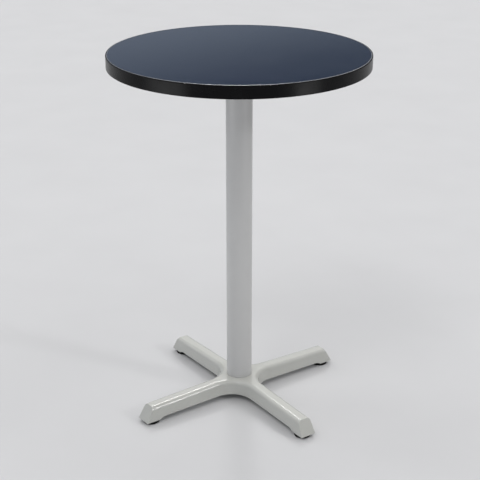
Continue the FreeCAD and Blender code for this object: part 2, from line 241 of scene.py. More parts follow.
# A round seat for the column in the middle of the crown
seat_points = len(SIDES) * (NOTCH_STEPS + 1)
pick("faces", lambda face: len(face.verts) == seat_points)
bpy.ops.mesh.delete(type="ONLY_FACE")
bpy.ops.mesh.primitive_circle_add(vertices=seat_points, radius=SEAT_RADIUS, location=(0, 0, SEAT_HEIGHT),
                                  rotation=(0, 0, math.pi / seat_points))
round_seat = lying(lambda point: point.z > SEAT_HEIGHT - ARM_FALL)
pick("edges", lambda edge: not edge.is_manifold and round_seat(edge))
bpy.ops.mesh.bridge_edge_loops()
pick("edges", lying(lambda point: point.z > SEAT_HEIGHT - TINY and point.xy.length < SEAT_RADIUS + TINY))
bpy.ops.mesh.edge_face_add()

# The toes, sawn off on a slope, closed and rounded at their edges
for out in SIDES.values():
    toe_point = out * TOE_REACH + UP * TOE_BOTTOM
    toe_normal = out * math.cos(TOE_SLOPE) + UP * math.sin(TOE_SLOPE)
    saw(toe_point, toe_normal)
    at_toe = in_plane(toe_point, toe_normal)
    pick("edges", lambda edge: creased(edge) and at_toe(edge))
    bpy.ops.mesh.bevel(offset=TOE_SETBACK, segments=TOE_STEPS, affect="EDGES")
close_up()
modify(base, "SOLIDIFY", thickness=CASTING_WALL, offset=-1, use_even_offset=True)
bpy.ops.object.mode_set(mode="EDIT")
pick("verts", lambda corner: corner.co.z < TOE_BOTTOM)
bpy.ops.transform.resize(value=(1, 1, 0), center_override=(0, 0, TOE_BOTTOM))
bpy.ops.object.mode_set(mode="OBJECT")

# The underside, cut clear of the floor between the heels; it falls a little along the arms
heel_top = UNDERSIDE_HEIGHT - UNDERSIDE_FALL
heel = round_bar("heel_cut", HEEL_START + HEEL_ROUND, -HEEL_ROUND, heel_top, sides=HEEL_SIDES)
bpy.ops.object.mode_set(mode="EDIT")
pick("edges", lying(lambda point: point.z > heel_top - TINY))
bpy.ops.mesh.bevel(offset=HEEL_ROUND, segments=HEEL_STEPS, affect="EDGES")
pick("faces", lying(lambda point: point.z > heel_top - TINY))
inset(HEEL_START - SEAT_RADIUS, UNDERSIDE_FALL)
bpy.ops.object.mode_set(mode="OBJECT")
combine(base, heel, "DIFFERENCE")

# The hub's boss and locating ring, the tapped bosses in the toes, and the bores through them
in_plate = SEAT_HEIGHT - CASTING_WALL / 2
combine(base, round_bar("hub_boss", HUB_BOSS_RADIUS, HUB_BOSS_BOTTOM, in_plate), "UNION")
over_ring = base_high.z + RING_WALL
ring = round_bar("locating_ring", RING_RADIUS, in_plate, base_high.z)
combine(ring, round_bar("ring_bore", RING_RADIUS - RING_WALL, TOE_BOTTOM, over_ring), "DIFFERENCE")
combine(base, ring, "UNION")
combine(base, round_bar("rod_hole", ROD_HOLE_RADIUS, TOE_BOTTOM, over_ring), "DIFFERENCE")
for out in SIDES.values():
    toe = out.xy * GLIDE_REACH
    boss = round_bar("glide_boss", GLIDE_BOSS_RADIUS, GLIDE_BOSS_BOTTOM, GLIDE_BOSS_TOP, toe)
    combine(base, boss, "UNION")
    bore = round_bar("glide_bore", GLIDE_BORE_RADIUS, TOE_BOTTOM, GLIDE_BORE_TOP, toe)
    combine(base, bore, "DIFFERENCE")
smooth(base, CREASE)


def new_finish(name, **constants):
    """A new material with its shader's constant sockets set; returns it with its tree, shader and place."""
    material = bpy.data.materials.new(name)
    material.use_nodes = True
    tree = material.node_tree
    shader = tree.nodes["Principled BSDF"]
    for socket, value in constants.items():
        shader.inputs[socket.replace("_", " ")].default_value = value
    place = tree.nodes.new("ShaderNodeTexCoord").outputs["Object"]
    return material, tree, shader, place


def node(tree, kind, output, settings=None, **inputs):
    """Add a node whose inputs take a value or another node's socket, and return one of its outputs."""
    made = tree.nodes.new("ShaderNode" + kind)
    for setting, value in (settings or {}).items():
        setattr(made, setting, value)
    for name, value in inputs.items():
        socket = made.inputs[name.replace("_", " ")]
        if isinstance(value, bpy.types.NodeSocket):
            tree.links.new(value, socket)
        else:
            socket.default_value = value
    return made.outputs[output]


def noise(tree, place, scale, detail=2.0, roughness=0.5):
    """Soft random blotches; the scale counts them in a metre."""
    return node(tree, "TexNoise", "Fac", Vector=place, Scale=scale, Detail=detail, Roughness=roughness)


def ramp(tree, factor, *stops):
    """A colour that runs through the given stops of place and colour."""
    colour = node(tree, "ValToRGB", "Color", Fac=factor)
    elements = colour.node.color_ramp.elements
    while len(elements) < len(stops):
        elements.new(1.0)
    for element, (position, value) in zip(elements, stops):
        element.position = position
        element.color = value
    return colour


def two_tone(tree, factor, tones, low, high):
    """A colour that goes from one tone to another while a factor goes from low to high."""
    return ramp(tree, factor, (low, tones[0]), (high, tones[1]))


def spread(tree, value, start, end):
    """Blotches taken to run from one number to another."""
    return node(tree, "MapRange", "Result", Value=value, From_Min=BLOTCH_LOW, From_Max=BLOTCH_HIGH,
                To_Min=start, To_Max=end)


def bump(tree, height, depth, strength, under=None):
    """Relief of a depth in metres, on top of other relief if there is any."""
    inputs = {"Normal": under} if under else {}
    return node(tree, "Bump", "Normal", Height=height, Distance=depth, Strength=strength, **inputs)


def plug(tree, shader, **outputs):
    """Let nodes drive a shader's sockets; an underscore stands for a space in a socket's name."""
    for name, output in outputs.items():
        tree.links.new(output, shader.inputs[name.replace("_", " ")])


def powder_coat(name, greys, glossy, satin):
    """Powder coat: two near greys in soft patches, a fine orange peel, and slow waves in the metal."""
    material, tree, shader, place = new_finish(name)
    patches = noise(tree, place, scale=14.0, detail=5.0, roughness=0.6)
    shine = noise(tree, place, scale=35.0, detail=4.0)
    waves = bump(tree, noise(tree, place, scale=30.0, detail=1.0), depth=0.0002, strength=0.12)
    peel = noise(tree, place, scale=700.0, detail=2.0)
    plug(tree, shader, Base_Color=two_tone(tree, patches, greys, low=0.35, high=0.65),
         Roughness=spread(tree, shine, start=glossy, end=satin),
         Normal=bump(tree, peel, depth=0.00002, strength=0.15, under=waves))
    return material


def dress(piece, material, slot, body, *nodes):
    """Give a piece its finish, stand it in for CAD nodes and let it ride on a body."""
    piece.data.materials.clear()
    piece.data.materials.append(material)
    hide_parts(*nodes)
    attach(piece, body)


casting_coat = powder_coat("casting_powder_coat", CASTING_GREYS, glossy=0.10, satin=0.14)
dress(base, casting_coat, "grey_paint_casting", "table", "base_casting")


# Glide pads: black nylon feet, moulded in one piece with a shallow recess underneath.
# Each pad clips over the ball of its stud and goes up and down with it.
PAD_RADIUS = 0.024
PAD_SIDES = 72
PAD_RIM = 0.006
PAD_SHOULDER = 0.004
PAD_HEIGHT = 0.0095
PAD_EDGE = 0.0015
PAD_EDGE_STEPS = 4
PAD_ROUND = 0.0006
PAD_ROUND_STEPS = 3
PAD_SHARP = math.radians(30)
PAD_RECESS_RADIUS = 0.018
PAD_RECESS_DEPTH = 0.0006
DISH_RADIUS = 0.007
DISH_FLOOR = 0.0068
DISH_DRAFT = 0.0006
BALL_RADIUS = 0.0036
BALL_SEGMENTS = 32
BALL_RINGS = 16
BALL_HEIGHT = 0.0052
BALL_CLEARANCE = 0.0001
NYLON_BLACKS = ((0.006, 0.006, 0.006, 1), (0.012, 0.012, 0.012, 1))


def ball(name, radius, height):
    """A ball on the glide's axis."""
    made = add(bpy.ops.mesh.primitive_uv_sphere_add, name, segments=BALL_SEGMENTS, ring_count=BALL_RINGS,
               radius=radius, location=(0, 0, height))
    bpy.ops.object.mode_set(mode="OBJECT")
    return made


pad = round_bar("glide_pad", PAD_RADIUS, 0, PAD_RIM, sides=PAD_SIDES)
bpy.ops.object.mode_set(mode="EDIT")
pick("edges", lying(lambda point: point.z < TINY))
bpy.ops.mesh.bevel(offset=PAD_EDGE, segments=PAD_EDGE_STEPS, affect="EDGES")
pick("faces", lying(lambda point: point.z < TINY))
inset(PAD_RADIUS - PAD_EDGE - PAD_RECESS_RADIUS, 0)
inset(PAD_RECESS_DEPTH, -PAD_RECESS_DEPTH)
pick("faces", lying(lambda point: point.z > PAD_RIM - TINY))
inset(PAD_SHOULDER, PAD_HEIGHT - PAD_RIM)
inset(PAD_RADIUS - PAD_SHOULDER - DISH_RADIUS, 0)
inset(DISH_DRAFT, DISH_FLOOR - PAD_HEIGHT)
round_dish = lying(lambda point: point.z > PAD_RIM - TINY and point.xy.length > DISH_RADIUS + TINY)
pick("edges", lambda edge: creased(edge, PAD_SHARP) and round_dish(edge))
bpy.ops.mesh.bevel(offset=PAD_ROUND, segments=PAD_ROUND_STEPS, affect="EDGES")
close_up()
combine(pad, ball("socket", BALL_RADIUS + BALL_CLEARANCE, BALL_HEIGHT), "DIFFERENCE")
smooth(pad, CREASE)


def nylon():
    """Moulded black nylon: a fine even grain, with rubbed patches that shine a little."""
    material, tree, shader, place = new_finish("black_nylon", Specular_IOR_Level=0.15)
    rubbed = noise(tree, place, scale=120.0, detail=4.0, roughness=0.6)
    grain = noise(tree, place, scale=2500.0, detail=2.0)
    plug(tree, shader, Base_Color=two_tone(tree, rubbed, NYLON_BLACKS, low=0.35, high=0.7),
         Roughness=spread(tree, rubbed, start=0.55, end=0.35),
         Normal=bump(tree, grain, depth=0.00006, strength=0.4))
    return material


def copies(piece, places):
    """Copies of a finished piece, each with its own mesh, at other places; the first piece goes."""
    made = []
    for name, place in places.items():
        choose(piece)
        bpy.ops.object.duplicate()
        bpy.ops.transform.translate(value=place)
        bpy.ops.object.transform_apply(location=True)
        copy = bpy.context.active_object
        copy.name = name
        copy.data.name = name
        made.append(copy)
    bpy.data.objects.remove(piece)
    return made


def one_per_toe(piece, name, material, slot, part):
    """Copy a piece to each toe, where the copy stands in for that side's CAD node and rides on its body."""
    places = {f"{side}_{name}": out * GLIDE_REACH for side, out in SIDES.items()}
    for side, copy in zip(SIDES, copies(piece, places)):
        dress(copy, material, slot, f"{side}_{part}", f"{side}_{part}")


one_per_toe(pad, "foot", nylon(), "glide_plastic", "glide_pad")


# Glide studs: zinc plated steel with a ball for the pad, a hexagon for a spanner and a rolled thread.
# Each screws into the tapped boss of its toe and sets the height of that corner.
NECK_RADIUS = 0.0025
NECK_SIDES = 32
HEX_ACROSS = 0.014
HEX_SIDES = 6
HEX_CHAMFER = math.radians(30)
HEX_BOTTOM = 0.0102
HEX_TOP = 0.0157
STUD_RADIUS = 0.0047625
STUD_PITCH = 0.0015875
STUD_TOP = 0.0411
THREAD_STEPS = 28
THREAD_CLEARANCE = 1.02
# A thread's tooth and the run before it, in parts of its pitch
THREAD_DEPTH = 0.6
THREAD_ROOT = 1 / 8
THREAD_CREST = (7 / 16, 9 / 16)
THREAD_LEAD = 1.5
ZINC_TINTS = ((0.52, 0.53, 0.54, 1), (0.66, 0.66, 0.65, 1))


def chamfered(name, radius, drop, rise, bottom, top):
    """A round bar whose ends are turned down by a drop in radius over a rise."""
    bar = round_bar(name, radius, bottom + rise, top - rise)
    bpy.ops.object.mode_set(mode="EDIT")
    for height in (bottom + rise, top - rise):
        pick("faces", lying(lambda point: abs(point.z - height) < TINY))
        inset(drop, rise)
    close_up()
    return bar


def hexagon(name, across_flats, bottom, top):
    """A hexagonal bar with its corners turned down at both ends."""
    corner = across_flats / 2 / math.cos(math.pi / HEX_SIDES)
    drop = corner - across_flats / 2
    bar = round_bar(name, corner, bottom, top, sides=HEX_SIDES)
    ends = chamfered("turned_ends", corner, drop, drop * math.tan(HEX_CHAMFER), bottom, top)
    combine(bar, ends, "INTERSECT")
    return bar


def threaded_bar(name, radius, pitch, bottom, top):
    """A bar with a rolled thread: one tooth, drawn point by point, screwed round the axis and cut off."""
    depth = THREAD_DEPTH * pitch
    root = radius - depth
    tooth = [(root, THREAD_ROOT * pitch), *((radius, rise * pitch) for rise in THREAD_CREST), (root, pitch)]
    start = Vector((root, 0, bottom - THREAD_LEAD * pitch))
    bar = add(bpy.ops.mesh.primitive_plane_add, name, size=pitch)
    pick("verts", lambda corner: True)
    bpy.ops.mesh.merge(type="CENTER")
    bpy.ops.transform.translate(value=start)
    here = start
    for across, rise in tooth:
        there = Vector((across, 0, start.z + rise))
        bpy.ops.mesh.extrude_vertices_move(TRANSFORM_OT_translate={"value": there - here})
        here = there
    bpy.ops.object.mode_set(mode="OBJECT")
    turns = math.ceil((top - start.z) / pitch) + 1
    modify(bar, "SCREW", angle=math.tau, screw_offset=pitch, iterations=turns, steps=THREAD_STEPS,
           render_steps=THREAD_STEPS)
    bpy.ops.object.mode_set(mode="EDIT")
    bpy.ops.mesh.select_all(action="SELECT")
    bpy.ops.mesh.remove_doubles(threshold=TINY)
    for height, facing in ((bottom, -UP), (top, UP)):
        saw(UP * height, facing)
    close_up()
    ends = chamfered("turned_ends", radius * THREAD_CLEARANCE, depth, depth, bottom, top)
    combine(bar, ends, "INTERSECT")
    return bar


stud = hexagon("glide_stud", HEX_ACROSS, HEX_BOTTOM, HEX_TOP)
neck = round_bar("neck", NECK_RADIUS, BALL_HEIGHT, (HEX_BOTTOM + HEX_TOP) / 2, sides=NECK_SIDES)
combine(stud, neck, "UNION")
combine(stud, ball("stud_ball", BALL_RADIUS, BALL_HEIGHT), "UNION")
combine(stud, threaded_bar("shank", STUD_RADIUS, STUD_PITCH, HEX_TOP - STUD_PITCH, STUD_TOP), "UNION")
smooth(stud, CREASE)


def zinc_plate():
    """Bright zinc plate: a faint blue and yellow cast in patches, a fine rough skin and an uneven shine."""
    material, tree, shader, place = new_finish("zinc_plate", Metallic=1.0)
    cast = noise(tree, place, scale=160.0, detail=4.0, roughness=0.6)
    shine = noise(tree, place, scale=400.0, detail=3.0)
    skin = noise(tree, place, scale=1800.0, detail=2.0)
    plug(tree, shader, Base_Color=two_tone(tree, cast, ZINC_TINTS, low=0.35, high=0.65),
         Roughness=spread(tree, shine, start=0.24, end=0.42),
         Normal=bump(tree, skin, depth=0.00003, strength=0.3))
    return material


zinc = zinc_plate()
one_per_toe(stud, "screw_stud", zinc, "bright_steel", "glide_stud")


# Column: one length of round steel tube, sawn square and powder coated satin grey.
# It stands on the hub round the locating ring, and the tie rod clamps it there.
COLUMN_RADIUS = column_high.x
COLUMN_SIDES = 144
COLUMN_WALL = 0.002
COLUMN_EASE = 0.0009
COLUMN_EASE_STEPS = 2
LEVEL_NORMAL = 0.5
TUBE_GREYS = ((0.538, 0.536, 0.530, 1), (0.553, 0.551, 0.544, 1))

column = round_bar("column_tube_painted", COLUMN_RADIUS, column_low.z, column_high.z, sides=COLUMN_SIDES)
bpy.ops.object.mode_set(mode="EDIT")
pick("faces", lambda face: abs(face.normal.z) > LEVEL_NORMAL)
inset(COLUMN_WALL, 0)
bpy.ops.mesh.delete(type="FACE")
pick("edges", lambda edge: edge.is_boundary)
bpy.ops.mesh.bridge_edge_loops()
bpy.ops.mesh.select_all(action="SELECT")
bpy.ops.mesh.normals_make_consistent(inside=False)
pick("edges", creased)
bpy.ops.mesh.bevel(offset=COLUMN_EASE, segments=COLUMN_EASE_STEPS, affect="EDGES")
close_up()
smooth(column, CREASE)
tube_coat = powder_coat("tube_powder_coat", TUBE_GREYS, glossy=0.34, satin=0.44)
dress(column, tube_coat, "grey_paint_tube", "table", "column_tube")


# Tie rod, nuts and washers: a steel rod threaded at both ends, hexagon nuts and flat washers.
# All are zinc plated. The rod runs from under the hub to the spider's pocket, and its nuts pull
# spider, column and base together.
rod_low, rod_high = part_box("tie_rod")
ROD_RADIUS = rod_high.x
ROD_PITCH = 0.0019538
ROD_THREAD = 0.040
NUT_ACROSS = 0.019
NUT_CLEARANCE = 0.0001
WASHER_EASE = 0.0004

thread_ends = rod_low.z + ROD_THREAD
thread_starts = rod_high.z - ROD_THREAD
rod = round_bar("clamp_rod", ROD_RADIUS, thread_ends - ROD_PITCH, thread_starts + ROD_PITCH)
combine(rod, threaded_bar("lower_thread", ROD_RADIUS, ROD_PITCH, rod_low.z, thread_ends), "UNION")
combine(rod, threaded_bar("upper_thread", ROD_RADIUS, ROD_PITCH, thread_starts, rod_high.z), "UNION")
smooth(rod, CREASE)
dress(rod, zinc, "bright_steel", "table", "tie_rod")
for end in ("lower", "upper"):
    nut_low, nut_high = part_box(f"{end}_nut")
    nut = hexagon(f"{end}_hex_nut", NUT_ACROSS, nut_low.z, nut_high.z)
    nut_bore = round_bar("nut_bore", ROD_RADIUS + NUT_CLEARANCE, nut_low.z - TINY, nut_high.z + TINY)
    combine(nut, nut_bore, "DIFFERENCE")
    smooth(nut, CREASE)
    dress(nut, zinc, "bright_steel", "table", f"{end}_nut")
    washer_low, washer_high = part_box(f"{end}_washer")
    washer = chamfered(f"{end}_flat_washer", washer_high.x, WASHER_EASE, WASHER_EASE, washer_low.z,
                       washer_high.z)
    washer_bore = round_bar("washer_bore", ROD_HOLE_RADIUS, washer_low.z - TINY, washer_high.z + TINY)
    combine(washer, washer_bore, "DIFFERENCE")
    smooth(washer, CREASE)
    dress(washer, zinc, "bright_steel", "table", f"{end}_washer")


# Spider: a black coated iron casting with four tapered arms, a round flange and a plug.
# The plug centres it in the column, and the tie rod's upper nut pulls it down from inside its pocket.
spider_low, spider_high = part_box("top_spider")
SPIDER_REACH = spider_high.x
SPIDER_ROOT_WIDTH = 0.044
SPIDER_TIP_HALF = 0.015
SPIDER_TIP_STEPS = 10
SPIDER_THINNING = 0.006
SPIDER_ROUND = 0.0015
SPIDER_ROUND_STEPS = 3
FLANGE_RADIUS = 0.0521
FLANGE_SIDES = 96
PLUG_RADIUS = 0.0358
POCKET_RADIUS = 0.0185
SCREW_REACHES = (0.085, 0.135)
SCREW_SEAT = 1.0262
SCREW_HOLE_RADIUS = 0.0026
HOLE_SIDES = 32
SCREW_SPOT_RADIUS = 0.0065
SPOT_SIDES = 40
IRON_BLACKS = ((0.014, 0.014, 0.015, 1), (0.026, 0.026, 0.027, 1))

# A plate in the middle, four arms drawn out of it and narrowed, with round tips
spider = add(bpy.ops.mesh.primitive_plane_add, "spider_casting", size=SPIDER_ROOT_WIDTH,
             location=(0, 0, spider_high.z))
root_half = SPIDER_ROOT_WIDTH / 2
for out in SIDES.values():
    pick("edges", lying(lambda point: point.dot(out) > root_half - TINY
                        and point.xy.length < SPIDER_ROOT_WIDTH))
    arm = out * (SPIDER_REACH - root_half)
    bpy.ops.mesh.extrude_region_move(TRANSFORM_OT_translate={"value": arm})
    narrowing = [1 if along else SPIDER_TIP_HALF / root_half for along in out]
    bpy.ops.transform.resize(value=narrowing, center_override=out * SPIDER_REACH + UP * spider_high.z)
bpy.ops.mesh.select_mode(type="FACE")
bpy.ops.mesh.select_all(action="SELECT")
bpy.ops.mesh.dissolve_faces()
pick("verts", lambda corner: corner.co.xy.length > SPIDER_REACH)
bpy.ops.mesh.bevel(offset=SPIDER_TIP_HALF, segments=SPIDER_TIP_STEPS, affect="VERTICES")

# Drawn down to the column's top, thinned towards the tips and rounded along the lower edges
bpy.ops.mesh.select_mode(type="FACE")
bpy.ops.mesh.select_all(action="SELECT")
bpy.ops.mesh.extrude_region_move(TRANSFORM_OT_translate={"value": UP * (column_high.z - spider_high.z)})
for out in SIDES.values():
    thinning = out * SPIDER_THINNING - UP * (SPIDER_REACH - FLANGE_RADIUS)
    saw(out * FLANGE_RADIUS + UP * column_high.z, thinning.normalized())
close_up()
bpy.ops.object.mode_set(mode="EDIT")
under_face = lying(lambda point: point.z < spider_high.z - TINY)
pick("edges", lambda edge: creased(edge) and under_face(edge))
bpy.ops.mesh.bevel(offset=SPIDER_ROUND, segments=SPIDER_ROUND_STEPS, affect="EDGES")
close_up()

# The flange on the column, the plug inside it, and the pocket and holes for rod and screws
flange = round_bar("flange", FLANGE_RADIUS, column_high.z, spider_high.z, sides=FLANGE_SIDES)
bpy.ops.object.mode_set(mode="EDIT")
pick("edges", lying(lambda point: point.z < column_high.z + TINY))
bpy.ops.mesh.bevel(offset=SPIDER_ROUND, segments=SPIDER_ROUND_STEPS, affect="EDGES")
bpy.ops.object.mode_set(mode="OBJECT")
combine(spider, flange, "UNION")
spigot = chamfered("plug", PLUG_RADIUS, SPIDER_ROUND, SPIDER_ROUND, spider_low.z, spider_high.z)
combine(spider, spigot, "UNION")
above = spider_high.z + SPIDER_ROUND
below = spider_low.z - SPIDER_ROUND
pocket_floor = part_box("upper_washer")[0].z
combine(spider, round_bar("pocket", POCKET_RADIUS, pocket_floor, above), "DIFFERENCE")
combine(spider, round_bar("rod_way", ROD_HOLE_RADIUS, below, above, sides=HOLE_SIDES), "DIFFERENCE")
for out in SIDES.values():
    for reach in SCREW_REACHES:
        hole = round_bar("screw_hole", SCREW_HOLE_RADIUS, below, above, out.xy * reach, HOLE_SIDES)
        combine(spider, hole, "DIFFERENCE")
        spot = round_bar("spot_face", SCREW_SPOT_RADIUS, below, SCREW_SEAT, out.xy * reach, SPOT_SIDES)
        combine(spider, spot, "DIFFERENCE")
smooth(spider, CREASE)


def black_iron():
    """Black dip coat on a sand casting: a coarse skin of two blacks and an uneven low shine."""
    material, tree, shader, place = new_finish("black_iron", Specular_IOR_Level=0.35)
    skin = noise(tree, place, scale=300.0, detail=5.0, roughness=0.65)
    shine = noise(tree, place, scale=60.0, detail=4.0)
    plug(tree, shader, Base_Color=two_tone(tree, skin, IRON_BLACKS, low=0.35, high=0.7),
         Roughness=spread(tree, shine, start=0.42, end=0.68),
         Normal=bump(tree, skin, depth=0.0003, strength=0.6))
    return material


dress(spider, black_iron(), "spider_iron", "table", "top_spider")


# Core and backer: a thick round particle board with a brown kraft backer glued under it.
# The board is sawn round, slotted at its edge for the band's tongue and drilled for the screws.
BOARD_TANS = ((0.30, 0.19, 0.10, 1), (0.46, 0.32, 0.18, 1), (0.60, 0.45, 0.28, 1))
KRAFT_BROWNS = ((0.060, 0.046, 0.034, 1), (0.095, 0.075, 0.056, 1))
FIBRE_STRETCH = (1.0, 6.0, 1.0)


def particle_board():
    """Pressed wood chips: flat flakes of several tans, rough all over."""
    material, tree, shader, place = new_finish("particle_board", Roughness=0.85, Specular_IOR_Level=0.25)
    flakes = node(tree, "TexVoronoi", "Color", Vector=place, Scale=420.0, Randomness=1.0)
    blend = node(tree, "SeparateColor", "Red", Color=flakes)
    tans = ramp(tree, blend, *zip((0.0, 0.5, 1.0), BOARD_TANS))
    gaps = noise(tree, place, scale=700.0, detail=4.0)
    plug(tree, shader, Base_Color=tans, Normal=bump(tree, gaps, depth=0.0004, strength=0.6))
    return material


def kraft_backer():
    """Resin-soaked kraft paper: brown with pale fibres, faint press marks and a dull shine."""
    material, tree, shader, place = new_finish("kraft_backer", Specular_IOR_Level=0.35)
    stretched = node(tree, "Mapping", "Vector", Vector=place, Scale=FIBRE_STRETCH)
    fibres = noise(tree, stretched, scale=260.0, detail=6.0, roughness=0.7)
    shine = noise(tree, place, scale=9.0, detail=3.0)
    plug(tree, shader, Base_Color=two_tone(tree, fibres, KRAFT_BROWNS, low=0.35, high=0.68),
         Roughness=spread(tree, shine, start=0.48, end=0.66),
         Normal=bump(tree, fibres, depth=0.00008, strength=0.4))
    return material


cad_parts["top_core"].material_slots[0].material = particle_board()
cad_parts["backer_sheet"].material_slots[0].material = kraft_backer()


# Top screws: eight pan-head wood screws with a crossed recess, zinc plated.
# They go up through the arms of the spider into the core, with their heads in the spot faces.
screws_low, screws_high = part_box("top_screws")
SCREW_RADIUS = 0.0024
SCREW_PITCH = 0.0018
SCREW_POINT = 0.005
POINT_CLEARANCE = 1.1
HEAD_RADIUS = 0.0047
HEAD_SIDES = 40
HEAD_ROUND = 0.0016
HEAD_ROUND_STEPS = 5
RECESS_LENGTH = 0.005
RECESS_WIDTH = 0.0012
RECESS_DEPTH = 0.0018

screw = round_bar("pan_head", HEAD_RADIUS, screws_low.z, SCREW_SEAT, sides=HEAD_SIDES)
bpy.ops.object.mode_set(mode="EDIT")
pick("edges", lying(lambda point: point.z < screws_low.z + TINY))
bpy.ops.mesh.bevel(offset=HEAD_ROUND, segments=HEAD_ROUND_STEPS, affect="EDGES")
bpy.ops.object.mode_set(mode="OBJECT")
for quarter in (0, math.pi / 2):
    recess = add(bpy.ops.mesh.primitive_cube_add, "recess", size=1, location=(0, 0, screws_low.z),
                 rotation=(0, 0, quarter), scale=(RECESS_LENGTH, RECESS_WIDTH, 2 * RECESS_DEPTH))
    bpy.ops.object.mode_set(mode="OBJECT")
    combine(screw, recess, "DIFFERENCE")
thread_start = SCREW_SEAT - HEAD_ROUND / 2
shank = threaded_bar("shank", SCREW_RADIUS, SCREW_PITCH, thread_start, screws_high.z)
point_start = screws_high.z - SCREW_POINT
tip = round_bar("point", POINT_CLEARANCE * SCREW_RADIUS, thread_start - TINY, point_start)
bpy.ops.object.mode_set(mode="EDIT")
pick("faces", lambda face: face.normal.z > LEVEL_NORMAL)
inset(SCREW_RADIUS, SCREW_POINT)
bpy.ops.object.mode_set(mode="OBJECT")
combine(shank, tip, "INTERSECT")
combine(screw, shank, "UNION")
smooth(screw, CREASE)
screw_places = {f"{side}_{reach}": out * reach for side, out in SIDES.items() for reach in SCREW_REACHES}
eight = copies(screw, screw_places)
bpy.ops.object.select_all(action="DESELECT")
for each in eight:
    each.select_set(True)
bpy.context.view_layer.objects.active = eight[0]
bpy.ops.object.join()
screws = bpy.context.active_object
screws.name = "eight_pan_head_screws"
dress(screws, zinc, "bright_steel", "table", "top_screws")


# Laminate: a one-millimetre sheet of dark blue-grey laminate with a satin face, glued on the core.
# Its edge is trimmed flush with the core inside the edge band, filed to a narrow slope and waxed; the slope
# is painted a paler blue-grey than the sheet, a painted highlight line round the rim.
laminate_low, laminate_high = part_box("top_laminate")
LAMINATE_RADIUS = laminate_high.x
TOP_SIDES = 192
LAMINATE_SLOPE = 0.0018
LAMINATE_DROP = 0.00048
LAMINATE_CREASE = 8
LAMINATE_BLUES = ((0.010, 0.021, 0.049, 1), (0.014, 0.026, 0.057, 1))
# Paler blue-greys for the filed slope: a painted highlight line, not the sheet's own colour
PAINTED_HIGHLIGHT_BLUES = ((0.100, 0.108, 0.128, 1), (0.140, 0.148, 0.170, 1))
FLAT_NORMAL = 0.99

laminate = round_bar("laminate_sheet", LAMINATE_RADIUS, laminate_low.z, laminate_high.z - LAMINATE_DROP,
                     sides=TOP_SIDES)
bpy.ops.object.mode_set(mode="EDIT")
pick("faces", lambda face: face.normal.z > LEVEL_NORMAL)
inset(LAMINATE_SLOPE, LAMINATE_DROP)
close_up()
smooth(laminate, LAMINATE_CREASE)


def satin_laminate():
    """Pressed laminate: fine flecks of two blue-greys, a pebbled press texture and wiped patches."""
    material, tree, shader, place = new_finish("satin_laminate", Specular_IOR_Level=0.5)
    flecks = noise(tree, place, scale=900.0, detail=3.0, roughness=0.6)
    wiped = noise(tree, place, scale=6.0, detail=5.0, roughness=0.6)
    pebbles = noise(tree, place, scale=1500.0, detail=2.0)
    plug(tree, shader, Base_Color=two_tone(tree, flecks, LAMINATE_BLUES, low=0.35, high=0.65),
         Roughness=spread(tree, wiped, start=0.11, end=0.14),
         Normal=bump(tree, pebbles, depth=0.00004, strength=0.25))
    return material


def filed_slope_painted_highlight():
    """The filed slope round the sheet, rubbed smooth and waxed, with faint file marks; its paler blue-grey
    is a painted highlight line.
    """
    material, tree, shader, place = new_finish("filed_slope_painted_highlight", Specular_IOR_Level=1.0, Coat_Weight=1.0,
                                               Coat_Roughness=0.3)
    marks = noise(tree, place, scale=600.0, detail=3.0, roughness=0.6)
    grain = noise(tree, place, scale=2500.0, detail=2.0)
    plug(tree, shader, Base_Color=two_tone(tree, marks, PAINTED_HIGHLIGHT_BLUES, low=0.35, high=0.65),
         Roughness=spread(tree, marks, start=0.30, end=0.36),
         Normal=bump(tree, grain, depth=0.00001, strength=0.1))
    return material


dress(laminate, satin_laminate(), "top_laminate", "table", "top_laminate")
# The slope's faces take the paler finish, a painted highlight round the rim
laminate.data.materials.append(filed_slope_painted_highlight())
for face in laminate.data.polygons:
    if LEVEL_NORMAL < face.normal.z < FLAT_NORMAL:
        face.material_index = 1


# Edge band: black vinyl of T section, its tongue hammered into the slot round the core.
# Its outer corners are round, and its two ends meet in a butt joint at the back.
band_low, band_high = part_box("edge_band")
BAND_RADIUS = band_high.x
BAND_WALL = 0.003
BAND_ROUND = 0.002
BAND_ROUND_STEPS = 6
TONGUE_HALF = 0.0008
TONGUE_DEPTH = 0.010
JOINT_WIDTH = 0.0004
JOINT_DEPTH = 0.0008
JOINT_BEARING = math.radians(54.8)
VINYL_BLACKS = ((0.0015, 0.0015, 0.002, 1), (0.003, 0.003, 0.0035, 1))
DIE_STRETCH = (0.02, 0.02, 1.0)

band_inside = BAND_RADIUS - BAND_WALL
tongue_height = (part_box("top_core")[0].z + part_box("top_core")[1].z) / 2
band = add(bpy.ops.mesh.primitive_circle_add, "vinyl_band", vertices=TOP_SIDES, radius=band_inside,
           location=(0, 0, band_low.z))
pick("edges", lambda edge: True)
band_heights = [band_low.z, tongue_height - TONGUE_HALF, tongue_height + TONGUE_HALF, band_high.z]
for bottom, top in zip(band_heights, band_heights[1:]):
    bpy.ops.mesh.extrude_region_move(TRANSFORM_OT_translate={"value": UP * (top - bottom)})
close_up()
modify(band, "SOLIDIFY", thickness=BAND_WALL, offset=1, use_even_offset=True)
bpy.ops.object.mode_set(mode="EDIT")
pick("faces", lying(lambda point: point.xy.length < band_inside + TINY
                    and abs(point.z - tongue_height) < TONGUE_HALF + TINY))
bpy.ops.mesh.extrude_region_move()
drawn_in = 1 - TONGUE_DEPTH / band_inside
bpy.ops.transform.resize(value=(drawn_in, drawn_in, 1), center_override=(0, 0, tongue_height))
pick("edges", lying(lambda point: point.xy.length > BAND_RADIUS - TINY
                    and abs(point.z - tongue_height) > 2 * BAND_ROUND))
bpy.ops.mesh.bevel(offset=BAND_ROUND, segments=BAND_ROUND_STEPS, affect="EDGES")
close_up()
joint_place = (BAND_RADIUS * math.cos(JOINT_BEARING), BAND_RADIUS * math.sin(JOINT_BEARING), tongue_height)
